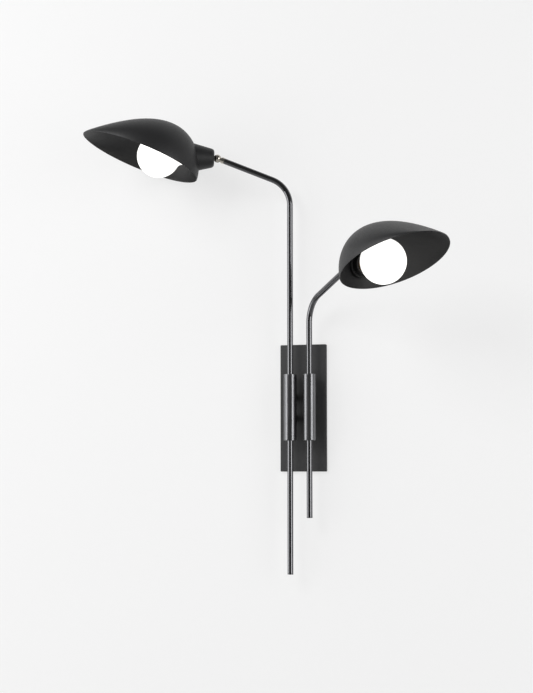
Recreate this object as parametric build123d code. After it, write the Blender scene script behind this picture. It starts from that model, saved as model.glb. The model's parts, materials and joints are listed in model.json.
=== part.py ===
"""Two-armed wall sconce: a wall pan, two swivel sleeves, two bent rods and two leaf-shaped hoods over globes.

Millimetres, +Z up, the wall at y = 0, the room towards -Y, and the origin at the middle of the pan's back.
"""

from build123d import *
import os
from math import cos, pi, radians, sin, sqrt, tan

os.makedirs("parts", exist_ok=True)

# Wall pan: a thin folded steel tray that is open towards the wall
PAN_W = 82.0
PAN_H = 220.0
PAN_DEPTH = 6.0
PAN_WALL = 1.2
PAN_CORNER_R = 1.5
PAN_EDGE_R = 0.6

# Wall strap inside the pan, with a tab at each end for a flush lock screw
STRAP_W = 16.0
STRAP_T = 2.0
STRAP_TAB = 4.4
STRAP_FIT = 0.3
STRAP_SLOT_PITCH = 88.9
STRAP_SLOT_W = 4.8
STRAP_SLOT_L = 11.0
LOCK_SCREW_D = 2.5
EARTH_SCREW_D = 4.0
EARTH_HEAD_D = 8.0
EARTH_HEAD_H = 2.2
EARTH_SCREW_X = 3.0
EARTH_SCREW_Z = 66.0

# Sleeves in front of the pan
SLEEVE_D = 22.0
SLEEVE_WALL = 1.5
SLEEVE_L = 114.0
SLEEVE_PITCH = 34.0
SLEEVE_OUT = 30.0

# Hollow threaded stand-offs with a nut and a washer inside the pan
STANDOFF_D = 10.0
STANDOFF_BORE = 6.5
STANDOFF_PITCH = 36.0
STANDOFF_TAIL = 5.2
NUT_FLATS = 14.0
NUT_T = 2.6
WASHER_D = 16.0
WASHER_T = 0.8

# Rods: bent steel tube that turns in two bushes in its sleeve
ROD_D = 10.0
ROD_WALL = 1.0
ROD_BEND_R = 48.0
ROD_RISE = 21.0
ARM_STRAIGHT = 102.5
ROD_FIT = 0.05
BUSH_L = 12.0
LEFT_BEND_Z = 352.0
LEFT_FOOT_Z = -284.0
LEFT_SWING = 18.5
RIGHT_BEND_Z = 145.0
RIGHT_FOOT_Z = -188.0
RIGHT_SWING = 45.0
WIRE_SLOT_L = 22.0
WIRE_SLOT_W = 5.0

# Stop collar on the rod, inside the sleeve, that rides on a washer over the lower bush
COLLAR_D = 18.0
COLLAR_L = 10.0
RIDE_WASHER_T = 1.5
RIDE_GAP = 0.1
GRUB_D = 4.0

# Foot plug, tip insert and lead in the rod
PLUG_L = 8.0
PLUG_LIP = 1.0
INSERT_L = 16.0
LEAD_D = 3.0
LEAD_FIT = 0.1

# Knuckle: a slotted ball that turns on the rod's tip and a tongue that tips on its cross pin
BALL_D = 14.0
GROOVE_D = 8.5
GROOVE_L = 0.6
NECK_D = 11.0
NECK_L = 4.6
TURN_GAP = 0.2
STUD_D = 6.0
STUD_L = 10.0
STUD_FIT = 0.05
TONGUE_T = 5.0
TONGUE_FIT = 0.1
TONGUE_R = 5.6
TONGUE_BAR = 7.0
SLOT_ROOM = 0.35
PIN_D = 4.0
PIN_FIT = 0.05
STEM_D = 8.0
STEM_TIP = 20.5
LEFT_TURN = 4.4
LEFT_TIP_DOWN = 19.5
RIGHT_TURN = 2.3
RIGHT_TIP_DOWN = 22.5

# Cup behind the hood, with a dished end in which the ball nests
CUP_START = 5.7
CUP_END = 33.5
CUP_SMALL_D = 31.0
CUP_LARGE_D = 45.0
CUP_WALL = 1.2
CUP_DISH_D = 18.0
CUP_DISH = 2.2
CUP_FACE = 2.0
CUP_ROUND_R = 6.0
CUP_NUT_FLATS = 13.0
CUP_NUT_T = 4.0

# Lamp holder, its ring, screw shell and centre contact
HOLDER_ROOM = 0.5
HOLDER_D = 36.0
HOLDER_SHOULDER_X = 28.0
HOLDER_FLANGE_D = 38.0
HOLDER_FLANGE_T = 2.0
HOLDER_MOUTH_X = 53.5
HOLDER_FLOOR_X = 24.5
HOLDER_HOLE_FIT = 0.3
RING_D = 43.0
RING_FRONT_X = 41.5
SHELL_D = 29.0
SHELL_WALL = 0.8
SHELL_LENGTH = 24.0
CONTACT_D = 9.0
CONTACT_H = 2.0

# Globe lamp
LAMP_CENTRE_X = 102.2
GLOBE_D = 75.0
GLASS_T = 1.0
GLASS_NECK_D = 27.0
GLASS_NECK_ROUND = 10.0
LAMP_CAP_D = 26.2
LAMP_CAP_L = 24.0
LAMP_CAP_WALL = 0.8
LAMP_TIP_D = 9.0
BOARD_T = 1.6

# Hood: a leaf-shaped shell whose open rim rises towards the tip
HOOD_L = 212.0
HOOD_HALF_W = 81.0
HOOD_CROWN = 74.7
HOOD_SHEET = 1.0
HOOD_RIM_RISE = 19.9
HOOD_BACK_X = 34.6
HOOD_BACK_Z = -39.1
HOOD_SIDE_BACK = 0.49
HOOD_SIDE_TIP = 0.51
HOOD_CROWN_BACK = 0.62
HOOD_CROWN_TIP = 1.13
HOOD_SECTIONS = 18

# Places that follow from the sizes
PAN_FRONT_Y = -PAN_DEPTH
SLEEVE_BORE = SLEEVE_D - 2 * SLEEVE_WALL
ROD_BORE = ROD_D - 2 * ROD_WALL
LOWER_BUSH_TOP = -SLEEVE_L / 2 + BUSH_L
COLLAR_FOOT_Z = LOWER_BUSH_TOP + RIDE_GAP + RIDE_WASHER_T
STANDOFF_SPOTS = [(x * SLEEVE_PITCH / 2, z * STANDOFF_PITCH / 2) for x in (-1, 1) for z in (-1, 1)]
NUT_BACK_Y = PAN_FRONT_Y + PAN_WALL + WASHER_T
STRAP_H = PAN_H - 2 * PAN_WALL - 2 * STRAP_FIT
NECK_BACK = BALL_D / 2 + GROOVE_L + NECK_L
TUBE_END = ARM_STRAIGHT - NECK_BACK - TURN_GAP
BEND_SETBACK = ROD_BEND_R * tan(radians(90 - ROD_RISE) / 2)
CUP_FACE_X = CUP_START + CUP_DISH
CUP_TAPER = (CUP_LARGE_D - CUP_SMALL_D) / 2 / (CUP_END - CUP_START)
LAMP_CAP_FRONT = LAMP_CENTRE_X - sqrt(
    (GLOBE_D / 2 + GLASS_NECK_ROUND) ** 2 - (GLASS_NECK_D / 2 + GLASS_NECK_ROUND) ** 2
)
LAMP_CAP_BACK = LAMP_CAP_FRONT - LAMP_CAP_L
LAMP_TIP_X = HOLDER_FLOOR_X + CONTACT_H


def save(shape, name):
    """Write one piece under its own name."""
    export_step(shape, f"parts/{name}.step")


def rod_y(radius, y_from, y_to, x=0.0, z=0.0):
    """A round bar along Y between two depths."""
    length = abs(y_to - y_from)
    return Pos(x, (y_from + y_to) / 2, z) * Rot(X=90) * Cylinder(radius, length)


def rod_z(radius, z_from, z_to, x=0.0, y=0.0):
    """A round bar along Z between two heights."""
    return Pos(x, y, (z_from + z_to) / 2) * Cylinder(radius, z_to - z_from)


def rod_x(radius, x_from, x_to):
    """A round bar along X between two places."""
    return Pos((x_from + x_to) / 2, 0, 0) * Rot(Y=90) * Cylinder(radius, x_to - x_from)


def hexagon_y(flats, bore, y_from, y_to):
    """A hexagon nut along Y."""
    plate = extrude(Plane.XZ.offset(-y_to) * RegularPolygon(flats / sqrt(3), 6), y_to - y_from)
    return plate - rod_y(bore / 2, y_from - 1, y_to + 1)


def turned(points):
    """A solid of revolution about X from (x, radius) points."""
    profile = make_face(Plane.XZ * Polyline(*points, close=True))
    return revolve(profile, Axis.X)


# Wall pan, with its holes
def wall_pan():
    outline = RectangleRounded(PAN_W, PAN_H, PAN_CORNER_R)
    block = extrude(Plane.XZ * outline, PAN_DEPTH)
    block = fillet(block.faces().sort_by(Axis.Y)[0].edges(), PAN_EDGE_R)
    hollow = Pos(0, -(PAN_DEPTH - PAN_WALL) / 2, 0) * Box(
        PAN_W - 2 * PAN_WALL, PAN_DEPTH - PAN_WALL, PAN_H - 2 * PAN_WALL
    )
    pan = block - hollow
    for x, z in STANDOFF_SPOTS:
        pan -= rod_y(STANDOFF_D / 2, PAN_FRONT_Y - 1, PAN_FRONT_Y + PAN_WALL + 1, x, z)
    pan -= rod_z(LOCK_SCREW_D / 2, -PAN_H, PAN_H, 0, -STRAP_TAB / 2)
    return pan


# Strap that is screwed to the wall: two slots, an earth screw hole and two end tabs
def wall_strap():
    strap = Pos(0, -STRAP_T / 2, 0) * Box(STRAP_W, STRAP_T, STRAP_H)
    for side in (-1, 1):
        tab_z = side * (STRAP_H - STRAP_T) / 2
        tab = Pos(0, -STRAP_TAB / 2, tab_z) * Box(STRAP_W, STRAP_TAB, STRAP_T)
        strap += tab
        slot_z = side * STRAP_SLOT_PITCH / 2
        slot = Plane.XZ * Pos(0, slot_z) * SlotOverall(STRAP_SLOT_L, STRAP_SLOT_W, rotation=90)
        strap -= extrude(slot, 2 * STRAP_T, both=True)
    strap -= rod_z(LOCK_SCREW_D / 2, -PAN_H, PAN_H, 0, -STRAP_TAB / 2)
    strap -= rod_y(EARTH_SCREW_D / 2, -2 * STRAP_T, STRAP_T, EARTH_SCREW_X, EARTH_SCREW_Z)
    return strap


# Flush lock screws through the pan's top and bottom edges
def lock_screws():
    inner = PAN_H / 2 - PAN_WALL - STRAP_FIT - STRAP_T - 1
    upper = rod_z(LOCK_SCREW_D / 2, inner, PAN_H / 2 - 0.2, 0, -STRAP_TAB / 2)
    lower = rod_z(LOCK_SCREW_D / 2, -PAN_H / 2 + 0.2, -inner, 0, -STRAP_TAB / 2)
    return Compound([upper, lower])


def earth_screw():
    shank = rod_y(EARTH_SCREW_D / 2, -STRAP_T, 0, EARTH_SCREW_X, EARTH_SCREW_Z)
    head = rod_y(EARTH_HEAD_D / 2, -STRAP_T - EARTH_HEAD_H, -STRAP_T, EARTH_SCREW_X, EARTH_SCREW_Z)
    return shank + head


# Stand-off: its front end is saddled to the sleeve, its tail carries washer and nut
def standoff(x, z):
    bar = rod_y(STANDOFF_D / 2, -SLEEVE_OUT, PAN_FRONT_Y + STANDOFF_TAIL, x, z)
    bar -= rod_y(STANDOFF_BORE / 2, -SLEEVE_OUT - 1, 0, x, z)
    return bar - rod_z(SLEEVE_D / 2, -SLEEVE_L, SLEEVE_L, x, -SLEEVE_OUT)


def standoff_washers():
    washer = rod_y(WASHER_D / 2, NUT_BACK_Y - WASHER_T, NUT_BACK_Y)
    washer -= rod_y(STANDOFF_D / 2, NUT_BACK_Y - 2 * WASHER_T, NUT_BACK_Y + WASHER_T)
    return Compound([Pos(x, 0, z) * washer for x, z in STANDOFF_SPOTS])


def standoff_nuts():
    nut = hexagon_y(NUT_FLATS, STANDOFF_D, NUT_BACK_Y, NUT_BACK_Y + NUT_T)
    return Compound([Pos(x, 0, z) * nut for x, z in STANDOFF_SPOTS])


# Sleeve with a wire hole behind each stand-off
def sleeve():
    tube = Cylinder(SLEEVE_D / 2, SLEEVE_L) - Cylinder(SLEEVE_BORE / 2, SLEEVE_L + 2)
    for z in (-STANDOFF_PITCH / 2, STANDOFF_PITCH / 2):
        tube -= rod_y(STANDOFF_BORE / 2, 0, SLEEVE_D, 0, z)
    return tube


def bush(z_from):
    ring = rod_z(SLEEVE_BORE / 2, z_from, z_from + BUSH_L)
    return ring - rod_z(ROD_D / 2 + ROD_FIT, z_from - 1, z_from + BUSH_L + 1)


# Rod: straight foot, one bend and the rising arm, drawn in the plane y = 0 with the arm towards +X
def arm_point(distance, bend_z):
    """A place on the rising arm, counted from the end of the bend."""
    rise = radians(ROD_RISE)
    x = ROD_BEND_R * (1 - sin(rise)) + distance * cos(rise)
    z = bend_z + ROD_BEND_R * cos(rise) + distance * sin(rise)
    return (x, 0, z)


def bent_bar(radius, foot_z, bend_z, end):
    """A round bar along the rod's centre line."""
    corner = (0, 0, bend_z + BEND_SETBACK)
    path = FilletPolyline((0, 0, foot_z), corner, arm_point(end, bend_z), radius=ROD_BEND_R)
    return sweep(Pos(0, 0, foot_z) * Circle(radius), path=path)


def rod_tube(foot_z, bend_z):
    tube = bent_bar(ROD_D / 2, foot_z, bend_z, TUBE_END) - bent_bar(ROD_BORE / 2, foot_z, bend_z, TUBE_END)
    slot = Pos(-ROD_D / 2, 0, 0) * Box(ROD_D, WIRE_SLOT_W, WIRE_SLOT_L)
    return tube - slot


def foot_plug(foot_z):
    plug = rod_z(ROD_D / 2, foot_z - PLUG_LIP, foot_z)
    return plug + rod_z(ROD_BORE / 2, foot_z, foot_z + PLUG_L)


def stop_collar():
    ring = rod_z(COLLAR_D / 2, COLLAR_FOOT_Z, COLLAR_FOOT_Z + COLLAR_L)
    ring -= rod_z(ROD_D / 2, COLLAR_FOOT_Z - 1, COLLAR_FOOT_Z + COLLAR_L + 1)
    return ring - rod_y(GRUB_D / 2, -COLLAR_D, 0, 0, COLLAR_FOOT_Z + COLLAR_L / 2)


def collar_grub():
    screw = rod_y(GRUB_D / 2, -COLLAR_D / 2 + 0.3, 0, 0, COLLAR_FOOT_Z + COLLAR_L / 2)
    return screw - rod_z(ROD_D / 2, -SLEEVE_L, SLEEVE_L)


def ride_washer():
    foot = LOWER_BUSH_TOP + RIDE_GAP
    ring = rod_z(COLLAR_D / 2, foot, foot + RIDE_WASHER_T)
    return ring - rod_z(ROD_D / 2, foot - 1, foot + RIDE_WASHER_T + 1)


def rod_lead(bend_z):
    return bent_bar(LEAD_D / 2, 0, bend_z, TUBE_END - STUD_L - 1)


# Pieces at the rod's tip, drawn at the knuckle's centre with +X along the arm
def tip_insert():
    back = -NECK_BACK - TURN_GAP
    bar = rod_x(ROD_BORE / 2, back - INSERT_L, back)
    bar -= rod_x(STUD_D / 2 + STUD_FIT, back - STUD_L, back + 1)
    return bar - rod_x(LEAD_D / 2 + LEAD_FIT, back - INSERT_L - 1, back)


def knuckle_ball():
    ball = Sphere(BALL_D / 2) + rod_x(GROOVE_D / 2, -NECK_BACK, 0)
    ball += rod_x(NECK_D / 2, -NECK_BACK, -NECK_BACK + NECK_L)
    ball += rod_x(STUD_D / 2, -NECK_BACK - STUD_L, 0)
    slot_back = TONGUE_R + SLOT_ROOM
    slot_w = TONGUE_T + 2 * TONGUE_FIT
    ball -= Pos((BALL_D - slot_back) / 2, 0, 0) * Box(BALL_D + slot_back, slot_w, 2 * BALL_D)
    return ball - rod_y(PIN_D / 2, -BALL_D, BALL_D)


def knuckle_pin():
    return rod_y(PIN_D / 2, -BALL_D / 2, BALL_D / 2) & Sphere(BALL_D / 2 - 0.1)


# Head pieces, drawn at the knuckle's centre with +X along the lamp holder
def knuckle_tongue():
    half = TONGUE_T / 2
    eye = rod_y(TONGUE_R, -half, half)
    bar = Pos(CUP_FACE_X / 2, 0, 0) * Box(CUP_FACE_X, TONGUE_T, TONGUE_BAR)
    stem = rod_x(STEM_D / 2, CUP_FACE_X - 0.4, STEM_TIP)
    return eye + bar + stem - rod_y(PIN_D / 2 + PIN_FIT, -TONGUE_T, TONGUE_T)


def cup_radius(x):
    """Outside radius of the cup's cone."""
    return CUP_SMALL_D / 2 + (x - CUP_START) * CUP_TAPER


def leaf(t, back, tip):
    """A leaf's outline from 0 at both ends to 1 at its widest, with its own fullness at back and tip."""
    peak = back / (back + tip)
    return (t / peak) ** back * ((1 - t) / (1 - peak)) ** tip


def hood_block(inset, below):
    """Arched ribs along the rim, drawn in from the hood's outside and carried on below the rim."""
    rise = radians(HOOD_RIM_RISE)
    along = Vector(cos(rise), 0, sin(rise))
    upward = Vector(-sin(rise), 0, cos(rise))
    start = Vector(HOOD_BACK_X, 0, HOOD_BACK_Z) + along * inset - upward * below
    length = HOOD_L - 2 * inset
    ribs = [Vertex(*start)]
    for i in range(1, HOOD_SECTIONS):
        t = (1 - cos(pi * i / HOOD_SECTIONS)) / 2
        half_w = (HOOD_HALF_W - inset) * leaf(t, HOOD_SIDE_BACK, HOOD_SIDE_TIP)
        height = (HOOD_CROWN - inset) * leaf(t, HOOD_CROWN_BACK, HOOD_CROWN_TIP) + below
        arch = EllipticalCenterArc((0, 0), half_w, height, start_angle=0, arc_size=180)
        rib = make_face([arch, Line((-half_w, 0), (half_w, 0))])
        ribs.append(Plane(start + along * (t * length), x_dir=(0, 1, 0), z_dir=along) * rib)
    ribs.append(Vertex(*(start + along * length)))
    return loft(ribs)


HOOD_OUTSIDE = hood_block(0.0, 0.0)
HOOD_INSIDE = hood_block(HOOD_SHEET, HOOD_SHEET / 2)


def hood():
    shell = HOOD_OUTSIDE - HOOD_INSIDE
    return shell - rod_x(HOLDER_D / 2 + HOLDER_HOLE_FIT, 0, LAMP_CENTRE_X)


def cup():
    deep = CUP_END + RING_D / 2
    cone = turned([(CUP_START, 0), (deep, 0), (deep, cup_radius(deep)), (CUP_START, CUP_SMALL_D / 2)])
    cone = fillet(cone.faces().sort_by(Axis.X)[0].edges(), CUP_ROUND_R)
    floor = CUP_FACE_X + CUP_FACE
    turn_x = CUP_START + CUP_ROUND_R
    hollow = turned(
        [
            (floor, 0),
            (floor, cup_radius(floor) - CUP_ROUND_R),
            (turn_x, cup_radius(turn_x) - CUP_WALL - CUP_FACE / 2),
            (turn_x + CUP_FACE, cup_radius(turn_x + CUP_FACE) - CUP_WALL),
            (deep + 1, cup_radius(deep + 1) - CUP_WALL),
            (deep + 1, 0),
        ]
    )
    shell = cone - hollow - rod_x(STEM_D / 2, 0, deep) - rod_x(CUP_DISH_D / 2, 0, CUP_FACE_X)
    return (shell - HOOD_OUTSIDE).solids().sort_by(Axis.X)[0]


def cup_nut():
    face = CUP_FACE_X + CUP_FACE
    nut = extrude(Plane.YZ.offset(face) * RegularPolygon(CUP_NUT_FLATS / sqrt(3), 6), CUP_NUT_T)
    return nut - rod_x(STEM_D / 2, 0, CUP_END)


def lamp_holder():
    back = CUP_FACE_X + CUP_FACE + CUP_NUT_T
    wide_x = CUP_START + (HOLDER_D / 2 + CUP_WALL + HOLDER_ROOM - CUP_SMALL_D / 2) / CUP_TAPER
    body = turned(
        [
            (back, 0),
            (back, cup_radius(back) - CUP_WALL - HOLDER_ROOM),
            (wide_x, HOLDER_D / 2),
            (HOLDER_MOUTH_X, HOLDER_D / 2),
            (HOLDER_MOUTH_X, 0),
        ]
    )
    body += rod_x(HOLDER_FLANGE_D / 2, HOLDER_SHOULDER_X, HOLDER_SHOULDER_X + HOLDER_FLANGE_T)
    body -= rod_x(STEM_D / 2, 0, STEM_TIP)
    return body - rod_x(SHELL_D / 2, HOLDER_FLOOR_X, HOLDER_MOUTH_X + 1)


def hood_ring():
    ring = rod_x(RING_D / 2, HOOD_BACK_X - 5, RING_FRONT_X) - rod_x(HOLDER_D / 2, 0, LAMP_CENTRE_X)
    return (ring & HOOD_INSIDE).solids().sort_by(SortBy.VOLUME)[-1]


def screw_shell():
    front = HOLDER_MOUTH_X - 1
    return rod_x(SHELL_D / 2, front - SHELL_LENGTH, front) - rod_x(SHELL_D / 2 - SHELL_WALL, 0, front + 1)


def centre_contact():
    return rod_x(CONTACT_D / 2, HOLDER_FLOOR_X, LAMP_TIP_X)


def lamp_cap_block(inset):
    """The lamp's screw cap with its insulated tip, drawn in from the outside by an inset."""
    return turned(
        [
            (LAMP_TIP_X + inset, 0),
            (LAMP_TIP_X + inset, LAMP_TIP_D / 2 - inset),
            (LAMP_CAP_BACK, LAMP_CAP_D / 2 - inset),
            (LAMP_CAP_FRONT, LAMP_CAP_D / 2 - inset),
            (LAMP_CAP_FRONT, 0),
        ]
    )


def lamp_cap():
    return lamp_cap_block(0.0) - lamp_cap_block(LAMP_CAP_WALL)


def globe_block(inset):
    """The globe and its neck, drawn in from the outside by an inset."""
    r = GLOBE_D / 2 - inset
    neck_r = GLASS_NECK_D / 2 - inset
    flare = GLASS_NECK_ROUND + inset
    centre = Vector(LAMP_CENTRE_X, 0)
    flare_centre = Vector(LAMP_CAP_FRONT, neck_r + flare)
    to_globe = (centre - flare_centre).normalized()
    meet = flare_centre + to_globe * flare
    flare_middle = flare_centre + (to_globe + Vector(0, -1)).normalized() * flare
    edges = [
        Line((LAMP_CAP_FRONT, 0), (LAMP_CAP_FRONT, neck_r)),
        ThreePointArc((LAMP_CAP_FRONT, neck_r), flare_middle, meet),
        ThreePointArc(meet, centre + Vector(0, r), centre + Vector(r, 0)),
        Line(centre + Vector(r, 0), (LAMP_CAP_FRONT, 0)),
    ]
    return revolve(Plane.XZ * make_face(edges), Axis.X)


def globe():
    return globe_block(0.0) - globe_block(GLASS_T)


def lamp_board():
    return rod_x(LAMP_CAP_D / 2 - LAMP_CAP_WALL, LAMP_CAP_FRONT - BOARD_T, LAMP_CAP_FRONT)


# Fixed pieces on the wall
save(wall_pan(), "wall_pan")
save(wall_strap(), "wall_strap")
save(lock_screws(), "pan_lock_screws")
save(earth_screw(), "earth_screw")
save(standoff_washers(), "standoff_washers")
save(standoff_nuts(), "standoff_nuts")

# Both arms: the same pieces at their own heights and angles
SIDES = {
    "left": (-1, LEFT_FOOT_Z, LEFT_BEND_Z, 180 + LEFT_SWING, LEFT_TURN, LEFT_TIP_DOWN),
    "right": (1, RIGHT_FOOT_Z, RIGHT_BEND_Z, -RIGHT_SWING, RIGHT_TURN, RIGHT_TIP_DOWN),
}
for name, (side, foot_z, bend_z, heading, turn, tip_down) in SIDES.items():
    axis_x = side * SLEEVE_PITCH / 2
    stand = Pos(axis_x, -SLEEVE_OUT, 0)
    arm = stand * Rot(Z=heading)
    tip = arm * Pos(*arm_point(ARM_STRAIGHT, bend_z)) * Rot(Y=-ROD_RISE)
    knuckle = tip * Rot(X=turn)
    head = knuckle * Rot(Y=tip_down)

    save(standoff(axis_x, STANDOFF_PITCH / 2), f"{name}_upper_standoff")
    save(standoff(axis_x, -STANDOFF_PITCH / 2), f"{name}_lower_standoff")
    save(stand * sleeve(), f"{name}_sleeve")
    save(stand * bush(SLEEVE_L / 2 - BUSH_L), f"{name}_upper_bush")
    save(stand * bush(-SLEEVE_L / 2), f"{name}_lower_bush")

    save(arm * rod_tube(foot_z, bend_z), f"{name}_rod")
    save(arm * foot_plug(foot_z), f"{name}_foot_plug")
    save(arm * stop_collar(), f"{name}_stop_collar")
    save(arm * collar_grub(), f"{name}_collar_grub")
    save(arm * ride_washer(), f"{name}_ride_washer")
    save(arm * rod_lead(bend_z), f"{name}_rod_lead")
    save(tip * tip_insert(), f"{name}_tip_insert")

    save(knuckle * knuckle_ball(), f"{name}_knuckle_ball")
    save(knuckle * knuckle_pin(), f"{name}_knuckle_pin")

    save(head * knuckle_tongue(), f"{name}_knuckle_tongue")
    save(head * cup(), f"{name}_cup")
    save(head * cup_nut(), f"{name}_cup_nut")
    save(head * lamp_holder(), f"{name}_lamp_holder")
    save(head * screw_shell(), f"{name}_screw_shell")
    save(head * centre_contact(), f"{name}_centre_contact")
    save(head * hood(), f"{name}_hood")
    save(head * hood_ring(), f"{name}_hood_ring")
    save(head * lamp_cap(), f"{name}_lamp_cap")
    save(head * lamp_board(), f"{name}_lamp_board")
    save(head * globe(), f"{name}_globe")
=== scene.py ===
# %% [markdown]
# A two-armed wall sconce, dressed in Blender
#
# The object is a black wall sconce: a flat wall pan, two swivel sleeves, two bent rods, and on each
# rod's tip a nickel knuckle that carries a leaf-shaped hood over an opal globe lamp.
# The measured solids arrive as a fixed frame in metres, with +Z up and the wall in the plane Y = 0.
# They could be scaled or moved here to fit the picture, but then the lamp would no longer be the
# size it was measured to be, so everything below is built around them and nothing moves them.

# %% Load the frame
import json
import math

import bmesh
import bpy
from mathutils import Matrix, Vector


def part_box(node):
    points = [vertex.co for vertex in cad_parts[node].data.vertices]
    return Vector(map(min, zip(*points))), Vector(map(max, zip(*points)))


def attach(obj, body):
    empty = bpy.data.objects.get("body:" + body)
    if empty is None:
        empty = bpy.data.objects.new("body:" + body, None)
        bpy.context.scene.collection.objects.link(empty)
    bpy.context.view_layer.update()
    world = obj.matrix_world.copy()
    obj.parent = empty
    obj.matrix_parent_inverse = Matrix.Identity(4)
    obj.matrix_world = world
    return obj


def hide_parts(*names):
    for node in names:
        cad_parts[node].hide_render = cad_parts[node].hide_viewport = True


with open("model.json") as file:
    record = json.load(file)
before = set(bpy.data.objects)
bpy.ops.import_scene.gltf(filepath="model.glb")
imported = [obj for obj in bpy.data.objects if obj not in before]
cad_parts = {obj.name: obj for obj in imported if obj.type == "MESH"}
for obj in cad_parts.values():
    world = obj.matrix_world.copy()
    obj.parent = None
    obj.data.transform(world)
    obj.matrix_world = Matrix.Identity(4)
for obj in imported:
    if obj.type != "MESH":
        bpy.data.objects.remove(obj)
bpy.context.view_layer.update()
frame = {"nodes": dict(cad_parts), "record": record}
NODES = frame["nodes"]
SIDES = ("left", "right")
MM = 0.001

# %% [markdown]
# The camera
#
# A camera can be pushed about by eye until the view looks right, or solved from points that are known
# both on the object and in the picture. It was solved from the pan's corners, the rods' lines, the
# globes and the hoods' rims, so its place, its turn and its focal length are plain numbers and the
# lens needs no shift.

# %% Camera
CAMERA_PLACE = Vector((0.64704, -2.52502, -0.11971))
CAMERA_YAW = math.radians(15.81)
CAMERA_PITCH = math.radians(4.98)
IMAGE_HEIGHT = 693
FOCAL_PIXELS = 1500.0
SENSOR_HEIGHT = 36.0
FAR_CLIP = 50.0

camera_data = bpy.data.cameras.new("view_camera")
camera_data.sensor_fit = "VERTICAL"
camera_data.sensor_height = SENSOR_HEIGHT
camera_data.lens = FOCAL_PIXELS / IMAGE_HEIGHT * SENSOR_HEIGHT
camera_data.clip_end = FAR_CLIP
camera = bpy.data.objects.new("view_camera", camera_data)
camera.location = CAMERA_PLACE
camera.rotation_euler = (math.pi / 2 + CAMERA_PITCH, 0.0, CAMERA_YAW)
scene = bpy.context.scene
scene.collection.objects.link(camera)
scene.camera = camera
scene.view_settings.view_transform = "Standard"
print("camera: lens", round(camera_data.lens, 2), "mm at", tuple(round(c, 3) for c in CAMERA_PLACE))

# %% [markdown]
# Helpers for materials
#
# Every finish below is a small node tree. One function turns a hex colour, as a paint card gives it,
# into the linear numbers that a shader works in. Another adds one node, sets its inputs and links
# them, so that a tree reads from top to bottom like a recipe. Patterns read Object coordinates,
# which are metres here, so a noise of scale 1 / size has bumps of about that size on the real thing.

# %% Material helpers
# A noise seldom leaves this range, so a roughness is spread over it.
NOISE_LOW, NOISE_HIGH = 0.3, 0.7


def linear(hex_colour):
    """A #rrggbb colour as linear RGBA."""
    parts = [int(hex_colour[i:i + 2], 16) / 255 for i in (1, 3, 5)]
    return [c / 12.92 if c <= 0.04045 else ((c + 0.055) / 1.055) ** 2.4 for c in parts] + [1.0]


def add(tree, kind, inputs=None, **settings):
    """Adds one node with its settings. An input takes a value, or an output to link to it."""
    node = tree.nodes.new(kind)
    for name, value in settings.items():
        setattr(node, name, value)
    for key, value in (inputs or {}).items():
        if isinstance(value, bpy.types.NodeSocket):
            tree.links.new(value, node.inputs[key])
        else:
            node.inputs[key].default_value = value
    return node


def new_material(name, **shader_inputs):
    """An empty material with its tree, its shader and its object coordinates."""
    material = bpy.data.materials.new(name)
    material.use_nodes = True
    tree = material.node_tree
    tree.nodes.clear()
    values = {k.replace("_", " "): v for k, v in shader_inputs.items()}
    shader = add(tree, "ShaderNodeBsdfPrincipled", values)
    add(tree, "ShaderNodeOutputMaterial", {"Surface": shader.outputs["BSDF"]})
    place = add(tree, "ShaderNodeTexCoord").outputs["Object"]
    return material, tree, shader, place


def surface(tree, shader, tone, rough, colours, rough_range, height=None, depth=0.0):
    """Links one pattern to the colour, one to the roughness, and one to a bump of a real depth."""
    body, other = (linear(c) for c in colours)
    # Sockets 6 and 7 of a Mix node are its two colours, and output 2 is the mixed one.
    blend = add(tree, "ShaderNodeMix", {0: tone, 6: body, 7: other}, data_type="RGBA")
    tree.links.new(blend.outputs[2], shader.inputs["Base Color"])
    low, high = rough_range
    spread = add(tree, "ShaderNodeMapRange", {
        "Value": rough, "From Min": NOISE_LOW, "From Max": NOISE_HIGH, "To Min": low, "To Max": high})
    tree.links.new(spread.outputs["Result"], shader.inputs["Roughness"])
    if height is not None:
        bump = add(tree, "ShaderNodeBump", {"Height": height, "Distance": depth, "Strength": 1.0})
        tree.links.new(bump.outputs["Normal"], shader.inputs["Normal"])


FINISHES = {}
print("paint card check:", [round(c, 3) for c in linear("#2B2B2C")])

# %% [markdown]
# Matte powder coat
#
# The pan, its stand-offs, the cups and the hoods have a baked powder coat. Powder melts into a skin
# with a faint orange peel, so the black is soft and even, with broad dull highlights and no mirror.
# The peel could be real displacement, but at less than a tenth of a millimetre deep only the light
# shows it, so it is a bump. Its real cells are about 0.8 mm; they are drawn 2.5 mm wide here,
# because finer ones would be lost.

# %% Powder coat
PEEL_CELL = 2.5 * MM
PEEL_DEPTH = 0.03 * MM
DRIFT_SIZE = 60 * MM


def powder_coat(name, colours, rough_range, shine):
    """A baked powder coat: fine peel in the gloss, and a slow drift in its tone."""
    material, tree, shader, place = new_material(name, Specular_IOR_Level=shine)
    drift = add(tree, "ShaderNodeTexNoise", {
        "Vector": place, "Scale": 1 / DRIFT_SIZE, "Detail": 3.0}).outputs["Fac"]
    peel = add(tree, "ShaderNodeTexNoise", {
        "Vector": place, "Scale": 1 / PEEL_CELL, "Detail": 2.0, "Roughness": 0.4}).outputs["Fac"]
    surface(tree, shader, drift, peel, colours, rough_range, peel, PEEL_DEPTH)
    return material


FINISHES["pan_black"] = powder_coat(
    "matte_powder_coat_pan", ("#313132", "#39393A"), (0.52, 0.66), 0.5)
FINISHES["hood_black"] = powder_coat(
    "matte_powder_coat_hood", ("#202021", "#262627"), (0.44, 0.54), 0.36)
print("powder coats: peel cells of", PEEL_CELL / MM, "mm")

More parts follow.
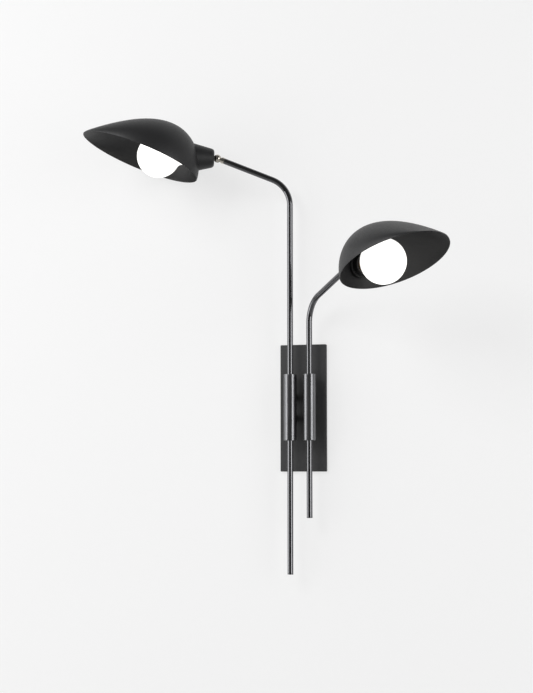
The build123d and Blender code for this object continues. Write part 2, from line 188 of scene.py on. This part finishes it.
# %% [markdown]
# Black nickel, polished and satin
#
# The rods are drawn steel tube with a polished black nickel plate, a dark mirror: a black core
# between two clear bright lines. The sleeves are turned from thicker tube and have the same plate
# over a satin skin, so the same lights spread into broad soft bands. Nearly all that is seen is what
# they mirror. Fine lines along the tube, about 0.4 mm apart, break the gloss; they are drawn 1.2 mm
# apart to show.

# %% Black nickel
LINE_GAP = 1.2 * MM
LINE_LENGTH = 90 * MM
SMUDGE_SIZE = 35 * MM


def black_nickel(name, colours, rough_range):
    """A dark plate whose gloss varies in fine lines along the tube."""
    material, tree, shader, place = new_material(name, Metallic=1.0)
    along = add(tree, "ShaderNodeMapping", {
        "Vector": place, "Scale": (1 / LINE_GAP, 1 / LINE_GAP, 1 / LINE_LENGTH)}).outputs["Vector"]
    lines = add(tree, "ShaderNodeTexNoise", {
        "Vector": along, "Scale": 1.0, "Detail": 2.0}).outputs["Fac"]
    smudge = add(tree, "ShaderNodeTexNoise", {
        "Vector": place, "Scale": 1 / SMUDGE_SIZE, "Detail": 2.0}).outputs["Fac"]
    surface(tree, shader, smudge, lines, colours, rough_range)
    return material


FINISHES["gloss_black"] = black_nickel(
    "polished_black_nickel", ("#646466", "#6C6C6E"), (0.10, 0.13))
FINISHES["satin_black"] = black_nickel(
    "satin_black_nickel", ("#6C6C6E", "#747476"), (0.25, 0.33))
print("black nickel: lines", LINE_GAP / MM, "mm apart")

# %% [markdown]
# Plated and bare metals
#
# The knuckles are polished nickel: a slightly warm mirror with faint rubbing marks from the
# polishing wheel. Hidden nuts, washers, collars and the wall strap are zinc plated, which is greyer
# and cloudy. The lamp's cap, the holder's contacts, the rods' tip inserts and the earth screw are
# brass. A metal is only its colour and its roughness here, and keeps the default IOR.

# %% Metals
RUB_DEPTH = 0.004 * MM


def plated(name, colours, rough_range, mark_size):
    """A metal whose roughness is clouded by marks of a given size."""
    material, tree, shader, place = new_material(name, Metallic=1.0)
    marks = add(tree, "ShaderNodeTexNoise", {
        "Vector": place, "Scale": 1 / mark_size, "Detail": 4.0, "Roughness": 0.6}).outputs["Fac"]
    surface(tree, shader, marks, marks, colours, rough_range, marks, RUB_DEPTH)
    return material


FINISHES["nickel"] = plated(
    "polished_nickel", ("#C9C4BB", "#BDB8AE"), (0.06, 0.13), 3 * MM)
FINISHES["zinc_steel"] = plated(
    "zinc_plated_steel", ("#B9BCC0", "#A6A9AE"), (0.30, 0.45), 6 * MM)
FINISHES["brass"] = plated(
    "pressed_brass", ("#C9A45C", "#B48E48"), (0.24, 0.36), 4 * MM)
print("metals:", [FINISHES[n].name for n in ("nickel", "zinc_steel", "brass")])

# %% [markdown]
# Plastics
#
# The bushes, the lamp holders and the rings that clamp the hoods are moulded in black, with the fine
# matte texture of a spark-eroded tool. The lead in the rod has a smoother extruded sheath, and the
# lamp's small light board is white.

# %% Plastics
GRAIN_DEPTH = 0.02 * MM


def moulded(name, colours, rough_range, grain):
    """A moulded plastic with the fine grain of its tool."""
    material, tree, shader, place = new_material(name)
    cells = add(tree, "ShaderNodeTexNoise", {
        "Vector": place, "Scale": 1 / grain, "Detail": 3.0}).outputs["Fac"]
    surface(tree, shader, cells, cells, colours, rough_range, cells, GRAIN_DEPTH)
    return material


FINISHES["bush_black"] = moulded(
    "moulded_black_plastic", ("#0C0C0D", "#121213"), (0.50, 0.64), 1.0 * MM)
FINISHES["lead_sheath"] = moulded(
    "extruded_cable_sheath", ("#242424", "#2C2C2C"), (0.40, 0.50), 2.0 * MM)
FINISHES["board_white"] = moulded(
    "white_light_board", ("#EDEDE8", "#E4E4DF"), (0.40, 0.55), 1.5 * MM)
print("plastics:", [FINISHES[n].name for n in ("bush_black", "lead_sheath", "board_white")])

# %% [markdown]
# Opal glass, lit
#
# The globes are opal glass with a light board behind, so each glows all over and has no hot spot. A
# real opal globe scatters light inside its wall. Here the glow comes from the surface itself, which
# costs far less time and looks much the same. A lit lamp is brighter than white paper, so a camera
# sees it clipped to plain white, and it throws a soft light on the hood's inside. At the limb, where
# the glass is seen aslant, less of that light comes out, so the glow falls there and the outline
# stays soft.

# %% Opal glass
GLOW_MIDDLE = 1.8
GLOW_LIMB = 0.9
CLOUD_SIZE = 25 * MM
material, tree, shader, place = new_material("lit_opal_glass", Emission_Color=linear("#FFFEFB"))
cloud = add(tree, "ShaderNodeTexNoise", {
    "Vector": place, "Scale": 1 / CLOUD_SIZE, "Detail": 2.0}).outputs["Fac"]
surface(tree, shader, cloud, cloud, ("#F2F0EA", "#E9E6DF"), (0.12, 0.2))
slant = add(tree, "ShaderNodeLayerWeight", {"Blend": 0.5}).outputs["Facing"]
glow = add(tree, "ShaderNodeMapRange", {
    "Value": slant, "To Min": GLOW_MIDDLE, "To Max": GLOW_LIMB})
tree.links.new(glow.outputs["Result"], shader.inputs["Emission Strength"])
FINISHES["opal_glass"] = material
print("opal glass: glow", GLOW_MIDDLE, "in the middle,", GLOW_LIMB, "at the limb")

# %% [markdown]
# Finishes on the measured pieces
#
# Each measured piece names the finish it takes in the record, so one loop dresses them all. The
# pieces that are modelled again below take theirs from the same list.

# %% Assign finishes
for subpart in frame["record"]["subparts"]:
    slots = NODES[subpart["node"]].data.materials
    slots.clear()
    slots.append(FINISHES[subpart["material_slot"]])

# %% [markdown]
# Shared steps for new pieces
#
# Some pieces gain from being modelled again as clean, round surfaces: the hoods, the rods, the
# sleeves and the lamps' threads. Each is shaped about simple axes of its own and then carried to its
# place as a whole, so that the object itself stays at the origin, as the measured pieces do.
# The turns below are those of the measured arms and heads at rest, in degrees.

# %% Axes and hand-over
ARM_RISE = 21.0
HEADING = {"left": 180 + 18.5, "right": -45.0}
HEAD_TURN = {"left": 4.4, "right": 2.3}
TIP_DOWN = {"left": 19.5, "right": 22.5}
JOINTS = {joint["name"]: joint for joint in frame["record"]["behaviour"]["joints"]}
SMOOTH_UP_TO = math.radians(40)
SHARP_FROM = math.radians(60)
WELD = 0.01 * MM


def turned(degrees, axis):
    """A turn about one axis."""
    return Matrix.Rotation(math.radians(degrees), 4, axis)


def arm_place(side):
    """The rod's own axes: up the rod along Z, with its arm towards X."""
    return Matrix.Translation(JOINTS[f"{side}_arm_swivel"]["pos_m"]) @ turned(HEADING[side], "Z")


def head_place(side):
    """The head's own axes: X along the lamp from the knuckle's centre, Z towards the crown."""
    knuckle = Matrix.Translation(JOINTS[f"{side}_head_tilt"]["pos_m"])
    tip = turned(HEADING[side], "Z") @ turned(-ARM_RISE, "Y")
    return knuckle @ tip @ turned(HEAD_TURN[side], "X") @ turned(TIP_DOWN[side], "Y")


def round_sharp_edges(bm, offset, segments):
    """Rounds every edge at which two faces meet at a sharp angle."""
    sharp = [e for e in bm.edges if len(e.link_faces) == 2 and e.calc_face_angle() > SHARP_FROM]
    bmesh.ops.bevel(bm, geom=sharp, offset=offset, affect="EDGES", segments=segments, profile=0.5,
                    material=-1)


def hand_over(bm, name, place, slot, body, *replaced):
    """Carries a finished shape to its place, makes it an object, and ties it to its body."""
    bmesh.ops.transform(bm, matrix=place, verts=bm.verts)
    mesh = bpy.data.meshes.new(name)
    bm.to_mesh(mesh)
    bm.free()
    for polygon in mesh.polygons:
        polygon.use_smooth = True
    mesh.set_sharp_from_angle(angle=SMOOTH_UP_TO)
    mesh.materials.append(FINISHES[slot])
    piece = bpy.data.objects.new(name, mesh)
    scene.collection.objects.link(piece)
    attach(piece, body)
    if replaced:
        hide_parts(*replaced)
    print("piece:", name, len(mesh.polygons), "faces")


for side in SIDES:
    print(side, "knuckle at", tuple(round(c, 4) for c in head_place(side).translation))

# %% [markdown]
# The hoods
#
# Each hood is one sheet, pressed into a leaf: its rim lies in a plane that rises towards the tip,
# and every cut across it is half an ellipse. It could be carved from a ball, but a flat grid that is
# bent into the leaf keeps its rows of faces along and across the sheet, so the light runs over it
# without a ripple. Thickness comes last, and the cut edge of the rim is rounded, as the coat rounds
# it on the real one; that edge is the thin bright line at the tip.

# %% Hoods
HOOD_LENGTH = 212 * MM
HOOD_HALF_WIDTH = 81 * MM
HOOD_CROWN = 74.7 * MM
HOOD_BACK = Vector((34.6, 0, -39.1)) * MM
RIM_RISE = math.radians(19.9)
# How blunt the back and the tip of the leaf are, for its breadth and for its height.
BREADTH_ENDS = (0.49, 0.51)
HEIGHT_ENDS = (0.62, 1.13)
ROWS_ALONG = 96
ROWS_ACROSS = 48
SHEET = 1.0 * MM
RIM_ROUND = 0.42 * MM


def leaf(t, back, tip):
    """A leaf's half-breadth along its length, 1 at its widest."""
    peak = back / (back + tip)
    return (t / peak) ** back * ((1 - t) / (1 - peak)) ** tip


def hood_point(u, v):
    """A point on the sheet's outside: u from the back to the tip, v over the crown, rim to rim."""
    t = 0.5 - 0.5 * math.cos(math.pi * u)
    along = Vector((math.cos(RIM_RISE), 0, math.sin(RIM_RISE)))
    up = Vector((-math.sin(RIM_RISE), 0, math.cos(RIM_RISE)))
    breadth = HOOD_HALF_WIDTH * leaf(t, *BREADTH_ENDS) * math.cos(math.pi * v)
    height = HOOD_CROWN * leaf(t, *HEIGHT_ENDS) * math.sin(math.pi * v)
    return HOOD_BACK + along * HOOD_LENGTH * t + Vector((0, breadth, 0)) + up * height


for side in SIDES:
    bm = bmesh.new()
    bmesh.ops.create_grid(bm, x_segments=ROWS_ALONG, y_segments=ROWS_ACROSS, size=1.0)
    for vert in bm.verts:
        vert.co = hood_point((vert.co.x + 1) / 2, (vert.co.y + 1) / 2)
    bmesh.ops.remove_doubles(bm, verts=bm.verts, dist=WELD)
    bmesh.ops.recalc_face_normals(bm, faces=bm.faces)
    if sum(f.normal.z for f in bm.faces) < 0:
        bmesh.ops.reverse_faces(bm, faces=bm.faces)
    bmesh.ops.solidify(bm, geom=bm.faces[:], thickness=SHEET)
    round_sharp_edges(bm, RIM_ROUND, segments=3)
    hand_over(bm, f"{side}_hood_sheet", head_place(side), "hood_black", f"{side}_head",
              f"{side}_hood")

# %% [markdown]
# The rods
#
# A rod is a length of tube that is bent once. A curve with a round bevel would do, but the ring of a
# tube can also be pulled along its way: straight up, round the bend with a spin, and straight out to
# the tip. Every ring of faces is then square to the tube, and the bright lines run round the bend
# without a kink. A short ring at each end of a straight length keeps the rounding of the cut there:
# without it, smooth shading would bend the light along the whole length.

# %% Rods
ROD_RADIUS = 5 * MM
ROD_WALL = 1.0 * MM
ROD_SIDES = 48
BEND_RADIUS = 48 * MM
BEND_STEPS = 32
BEND_HEIGHT = {"left": 352 * MM, "right": 145 * MM}
ARM_REACH = 90.1 * MM
END_RING = 1.5 * MM
END_ROUND = 0.2 * MM
RISE = math.radians(ARM_RISE)
OUTWARD = Vector((math.cos(RISE), 0, math.sin(RISE)))


def pulled(bm, ring, move):
    """Pulls a ring of edges along a vector and gives the new ring."""
    made = bmesh.ops.extrude_edge_only(bm, edges=ring)["geom"]
    verts = [g for g in made if isinstance(g, bmesh.types.BMVert)]
    bmesh.ops.translate(bm, verts=verts, vec=move)
    return [g for g in made if isinstance(g, bmesh.types.BMEdge)]


for side in SIDES:
    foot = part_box(f"{side}_rod")[0][2]
    bend = BEND_HEIGHT[side]
    bm = bmesh.new()
    bmesh.ops.create_circle(bm, segments=ROD_SIDES, radius=ROD_RADIUS)
    bmesh.ops.translate(bm, verts=bm.verts, vec=(0, 0, foot))
    ring = bm.edges[:]
    for rise in (END_RING, bend - foot - 2 * END_RING, END_RING):
        ring = pulled(bm, ring, (0, 0, rise))
    ring_verts = list(dict.fromkeys(v for e in ring for v in e.verts))
    spun = bmesh.ops.spin(bm, geom=ring + ring_verts, cent=(BEND_RADIUS, 0, bend), axis=(0, 1, 0),
                          angle=math.radians(90 - ARM_RISE), steps=BEND_STEPS)
    ring = [g for g in spun["geom_last"] if isinstance(g, bmesh.types.BMEdge)]
    for reach in (END_RING, ARM_REACH - 2 * END_RING, END_RING):
        ring = pulled(bm, ring, OUTWARD * reach)
    bmesh.ops.recalc_face_normals(bm, faces=bm.faces)
    bmesh.ops.solidify(bm, geom=bm.faces[:], thickness=ROD_WALL)
    round_sharp_edges(bm, END_ROUND, segments=2)
    hand_over(bm, f"{side}_rod_tube", arm_place(side), "gloss_black", f"{side}_arm", f"{side}_rod")

# %% [markdown]
# The sleeves
#
# The sleeves are turned from thick tube, and a lathe leaves a small rounded break on each end. That
# is a shape to spin: the wall's cut face is drawn once, its four corners are rounded, and its
# outline is spun about the sleeve's axis. Its long sides are divided first, so that the smooth
# shading of the rounded ends stays at the ends.

# %% Sleeves
SLEEVE_RADIUS = 11 * MM
SLEEVE_WALL = 1.5 * MM
SLEEVE_BREAK = 0.5 * MM
SLEEVE_ROWS = 60
SLEEVE_SIDES = 72
STAND_UP = Matrix.Rotation(math.pi / 2, 3, "X")

for side in SIDES:
    low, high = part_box(f"{side}_sleeve")
    middle = (SLEEVE_RADIUS - SLEEVE_WALL / 2, 0, (low[2] + high[2]) / 2)
    bm = bmesh.new()
    bmesh.ops.create_grid(bm, x_segments=1, y_segments=1, size=0.5)
    bmesh.ops.scale(bm, vec=(SLEEVE_WALL, high[2] - low[2], 1), verts=bm.verts)
    bmesh.ops.bevel(bm, geom=bm.verts[:], offset=SLEEVE_BREAK, affect="VERTICES", segments=4,
                    profile=0.5, material=-1)
    long_sides = [e for e in bm.edges if e.calc_length() > 2 * SLEEVE_WALL]
    bmesh.ops.subdivide_edges(bm, edges=long_sides, cuts=SLEEVE_ROWS - 1)
    bmesh.ops.rotate(bm, verts=bm.verts, cent=(0, 0, 0), matrix=STAND_UP)
    bmesh.ops.translate(bm, verts=bm.verts, vec=middle)
    inner_edges = [e for e in bm.edges if len(e.link_faces) == 2]
    bmesh.ops.delete(bm, geom=inner_edges, context="EDGES_FACES")
    bmesh.ops.delete(bm, geom=bm.faces[:], context="FACES_ONLY")
    bmesh.ops.spin(bm, geom=bm.verts[:] + bm.edges[:], cent=(0, 0, 0), axis=(0, 0, 1),
                   angle=2 * math.pi, steps=SLEEVE_SIDES, use_merge=True)
    bmesh.ops.remove_doubles(bm, verts=bm.verts, dist=WELD)
    bmesh.ops.recalc_face_normals(bm, faces=bm.faces)
    centre = Matrix.Translation(JOINTS[f"{side}_arm_swivel"]["pos_m"])
    hand_over(bm, f"{side}_sleeve_tube", centre, "satin_black", "base", f"{side}_sleeve")

# %% [markdown]
# The lamps' threads
#
# A globe lamp screws into its holder by a rolled brass thread of 3.6 mm pitch, and its last turn
# shows between the holder and the glass. A spin that also moves along its axis makes a screw: a
# small rounded ridge is carried five times round the cap.

# %% Lamp threads
CAP_RADIUS = 13.1 * MM
THREAD_PITCH = 3.63 * MM
THREAD_TURNS = 5
THREAD_START = 38.6 * MM
# The ridge's cut in mm: along the cap, and out from its radius.
RIDGE = ((-0.9, -0.3), (-0.55, 0.28), (0.0, 0.45), (0.55, 0.28), (0.9, -0.3))
STEPS_A_TURN = 40

for side in SIDES:
    bm = bmesh.new()
    points = [(THREAD_START + along * MM, 0, CAP_RADIUS + out * MM) for along, out in RIDGE]
    cut = bm.faces.new([bm.verts.new(point) for point in points])
    bmesh.ops.spin(bm, geom=[cut] + cut.edges[:] + cut.verts[:], cent=(0, 0, 0), axis=(1, 0, 0),
                   dvec=(THREAD_PITCH / STEPS_A_TURN, 0, 0), angle=2 * math.pi * THREAD_TURNS,
                   steps=STEPS_A_TURN * THREAD_TURNS)
    bmesh.ops.recalc_face_normals(bm, faces=bm.faces)
    hand_over(bm, f"{side}_lamp_thread", head_place(side), "brass", f"{side}_head")

# %% [markdown]
# Wall and floor
#
# The sconce hangs on a plain off-white wall over a plain pale floor. The wall is lit like anything
# else, and adds a little glow of its own for what is looked at directly or in a mirror, so that it
# reads as an even pale ground and still takes soft shadows. It is see-through from behind and open
# behind the pan, so that the pan's back can be looked at too.

# %% Wall and floor
WALL_REACH = 12.0
WALL_GLOW = 0.68
WALL_BEHIND = 0.5 * MM
PAN_LAP = 2 * MM
SMALL_FACE = 0.1
FLOOR_Z = -0.95
ROLLER_GRAIN = 4 * MM


def backdrop(name, build, hex_paint, glow):
    """A stage piece with matte paint, a glow for direct sight, and no back face."""
    mesh = bpy.data.meshes.new(name)
    bm = bmesh.new()
    build(bm)
    bm.to_mesh(mesh)
    bm.free()
    piece = bpy.data.objects.new(name, mesh)
    scene.collection.objects.link(piece)
    material, tree, shader, place = new_material(
        name + "_paint", Specular_IOR_Level=0.1, Emission_Color=linear("#FFFFFF"))
    roller = add(tree, "ShaderNodeTexNoise", {
        "Vector": place, "Scale": 1 / ROLLER_GRAIN, "Detail": 3.0}).outputs["Fac"]
    surface(tree, shader, roller, roller, (hex_paint, hex_paint), (0.85, 0.95))
    path = add(tree, "ShaderNodeLightPath").outputs
    mirror = add(tree, "ShaderNodeMath", {
        0: path["Is Glossy Ray"], 1: path["Is Transmission Ray"]}, operation="MAXIMUM").outputs[0]
    sight = add(tree, "ShaderNodeMath", {
        0: path["Is Camera Ray"], 1: mirror}, operation="MAXIMUM").outputs[0]
    amount = add(tree, "ShaderNodeMath", {0: sight, 1: glow}, operation="MULTIPLY").outputs[0]
    tree.links.new(amount, shader.inputs["Emission Strength"])
    clear = add(tree, "ShaderNodeBsdfTransparent").outputs["BSDF"]
    behind = add(tree, "ShaderNodeNewGeometry").outputs["Backfacing"]
    one_sided = add(tree, "ShaderNodeMixShader", {0: behind, 1: shader.outputs["BSDF"], 2: clear})
    output = next(n for n in tree.nodes if n.type == "OUTPUT_MATERIAL")
    tree.links.new(one_sided.outputs["Shader"], output.inputs["Surface"])
    mesh.materials.append(material)
    return piece


def wall_shape(bm):
    """A wide plane at the wall, facing the room, with an opening just inside the pan's outline."""
    low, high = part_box("wall_pan")
    opening = (high[0] - low[0] - 2 * PAN_LAP, high[2] - low[2] - 2 * PAN_LAP, 1)
    bmesh.ops.create_grid(bm, x_segments=1, y_segments=1, size=0.5)
    bmesh.ops.scale(bm, vec=opening, verts=bm.verts)
    made = bmesh.ops.extrude_edge_only(bm, edges=bm.edges[:])["geom"]
    for vert in [g for g in made if isinstance(g, bmesh.types.BMVert)]:
        vert.co.x = math.copysign(WALL_REACH, vert.co.x)
        vert.co.y = math.copysign(WALL_REACH, vert.co.y)
    middle = [f for f in bm.faces if f.calc_area() < SMALL_FACE]
    bmesh.ops.delete(bm, geom=middle, context="FACES_ONLY")
    bmesh.ops.rotate(bm, verts=bm.verts, cent=(0, 0, 0), matrix=STAND_UP)
    bmesh.ops.translate(bm, verts=bm.verts, vec=(0, WALL_BEHIND, 0))
    bmesh.ops.recalc_face_normals(bm, faces=bm.faces)
    if bm.faces[0].normal.y > 0:
        bmesh.ops.reverse_faces(bm, faces=bm.faces)


def floor_shape(bm):
    """A wide plane below the sconce, facing up."""
    bmesh.ops.create_grid(bm, x_segments=1, y_segments=1, size=WALL_REACH)
    bmesh.ops.translate(bm, verts=bm.verts, vec=(0, -WALL_REACH, FLOOR_Z))


wall = backdrop("wall", wall_shape, "#848484", WALL_GLOW)
floor = backdrop("floor", floor_shape, "#C8C8C8", 0.0)
print("stage:", wall.name, len(wall.data.polygons), "faces,", floor.name, "at", FLOOR_Z)

# %% [markdown]
# Light
#
# The picture's light can be read from the object. The rods' shadows on the pan fall 12 to 14 mm to
# the right at 24 mm in front of it, so the main light stands high on the left. The bright lines
# along the upright rods can only come from lights at the rods' own height: a wide soft box on the
# left and a narrower one on the right, which also makes the dull highlight along the middle of the
# left cup. All are soft boxes, and a grey room fills the rest.

# %% Lights
AIM = Vector((0.0, -0.05, 0.12))


def soft_box(name, azimuth, elevation, distance, width, height, level):
    """A soft box that faces the sconce. Its level is its brightness; its power goes by its size."""
    a, e = math.radians(azimuth), math.radians(elevation)
    toward = Vector((math.sin(a) * math.cos(e), -math.cos(a) * math.cos(e), math.sin(e)))
    light = bpy.data.lights.new(name, "AREA")
    light.shape = "RECTANGLE"
    light.size, light.size_y = width, height
    light.energy = level * math.pi * width * height
    box = bpy.data.objects.new(name, light)
    box.location = AIM + toward * distance
    box.rotation_euler = (-toward).to_track_quat("-Z", "Y").to_euler()
    scene.collection.objects.link(box)
    print("light:", name, round(light.energy, 1), "W")


soft_box("key_box", -28, 30, distance=2.4, width=1.0, height=1.0, level=7.6)
soft_box("left_box", -62, 5, distance=2.6, width=1.8, height=2.4, level=3.4)
soft_box("right_box", 61, 0, distance=2.4, width=1.0, height=1.7, level=4.8)
world = bpy.data.worlds.new("grey_room")
world.use_nodes = True
background = world.node_tree.nodes["Background"]
background.inputs["Color"].default_value = linear("#606060")
background.inputs["Strength"].default_value = 1.0
scene.world = world
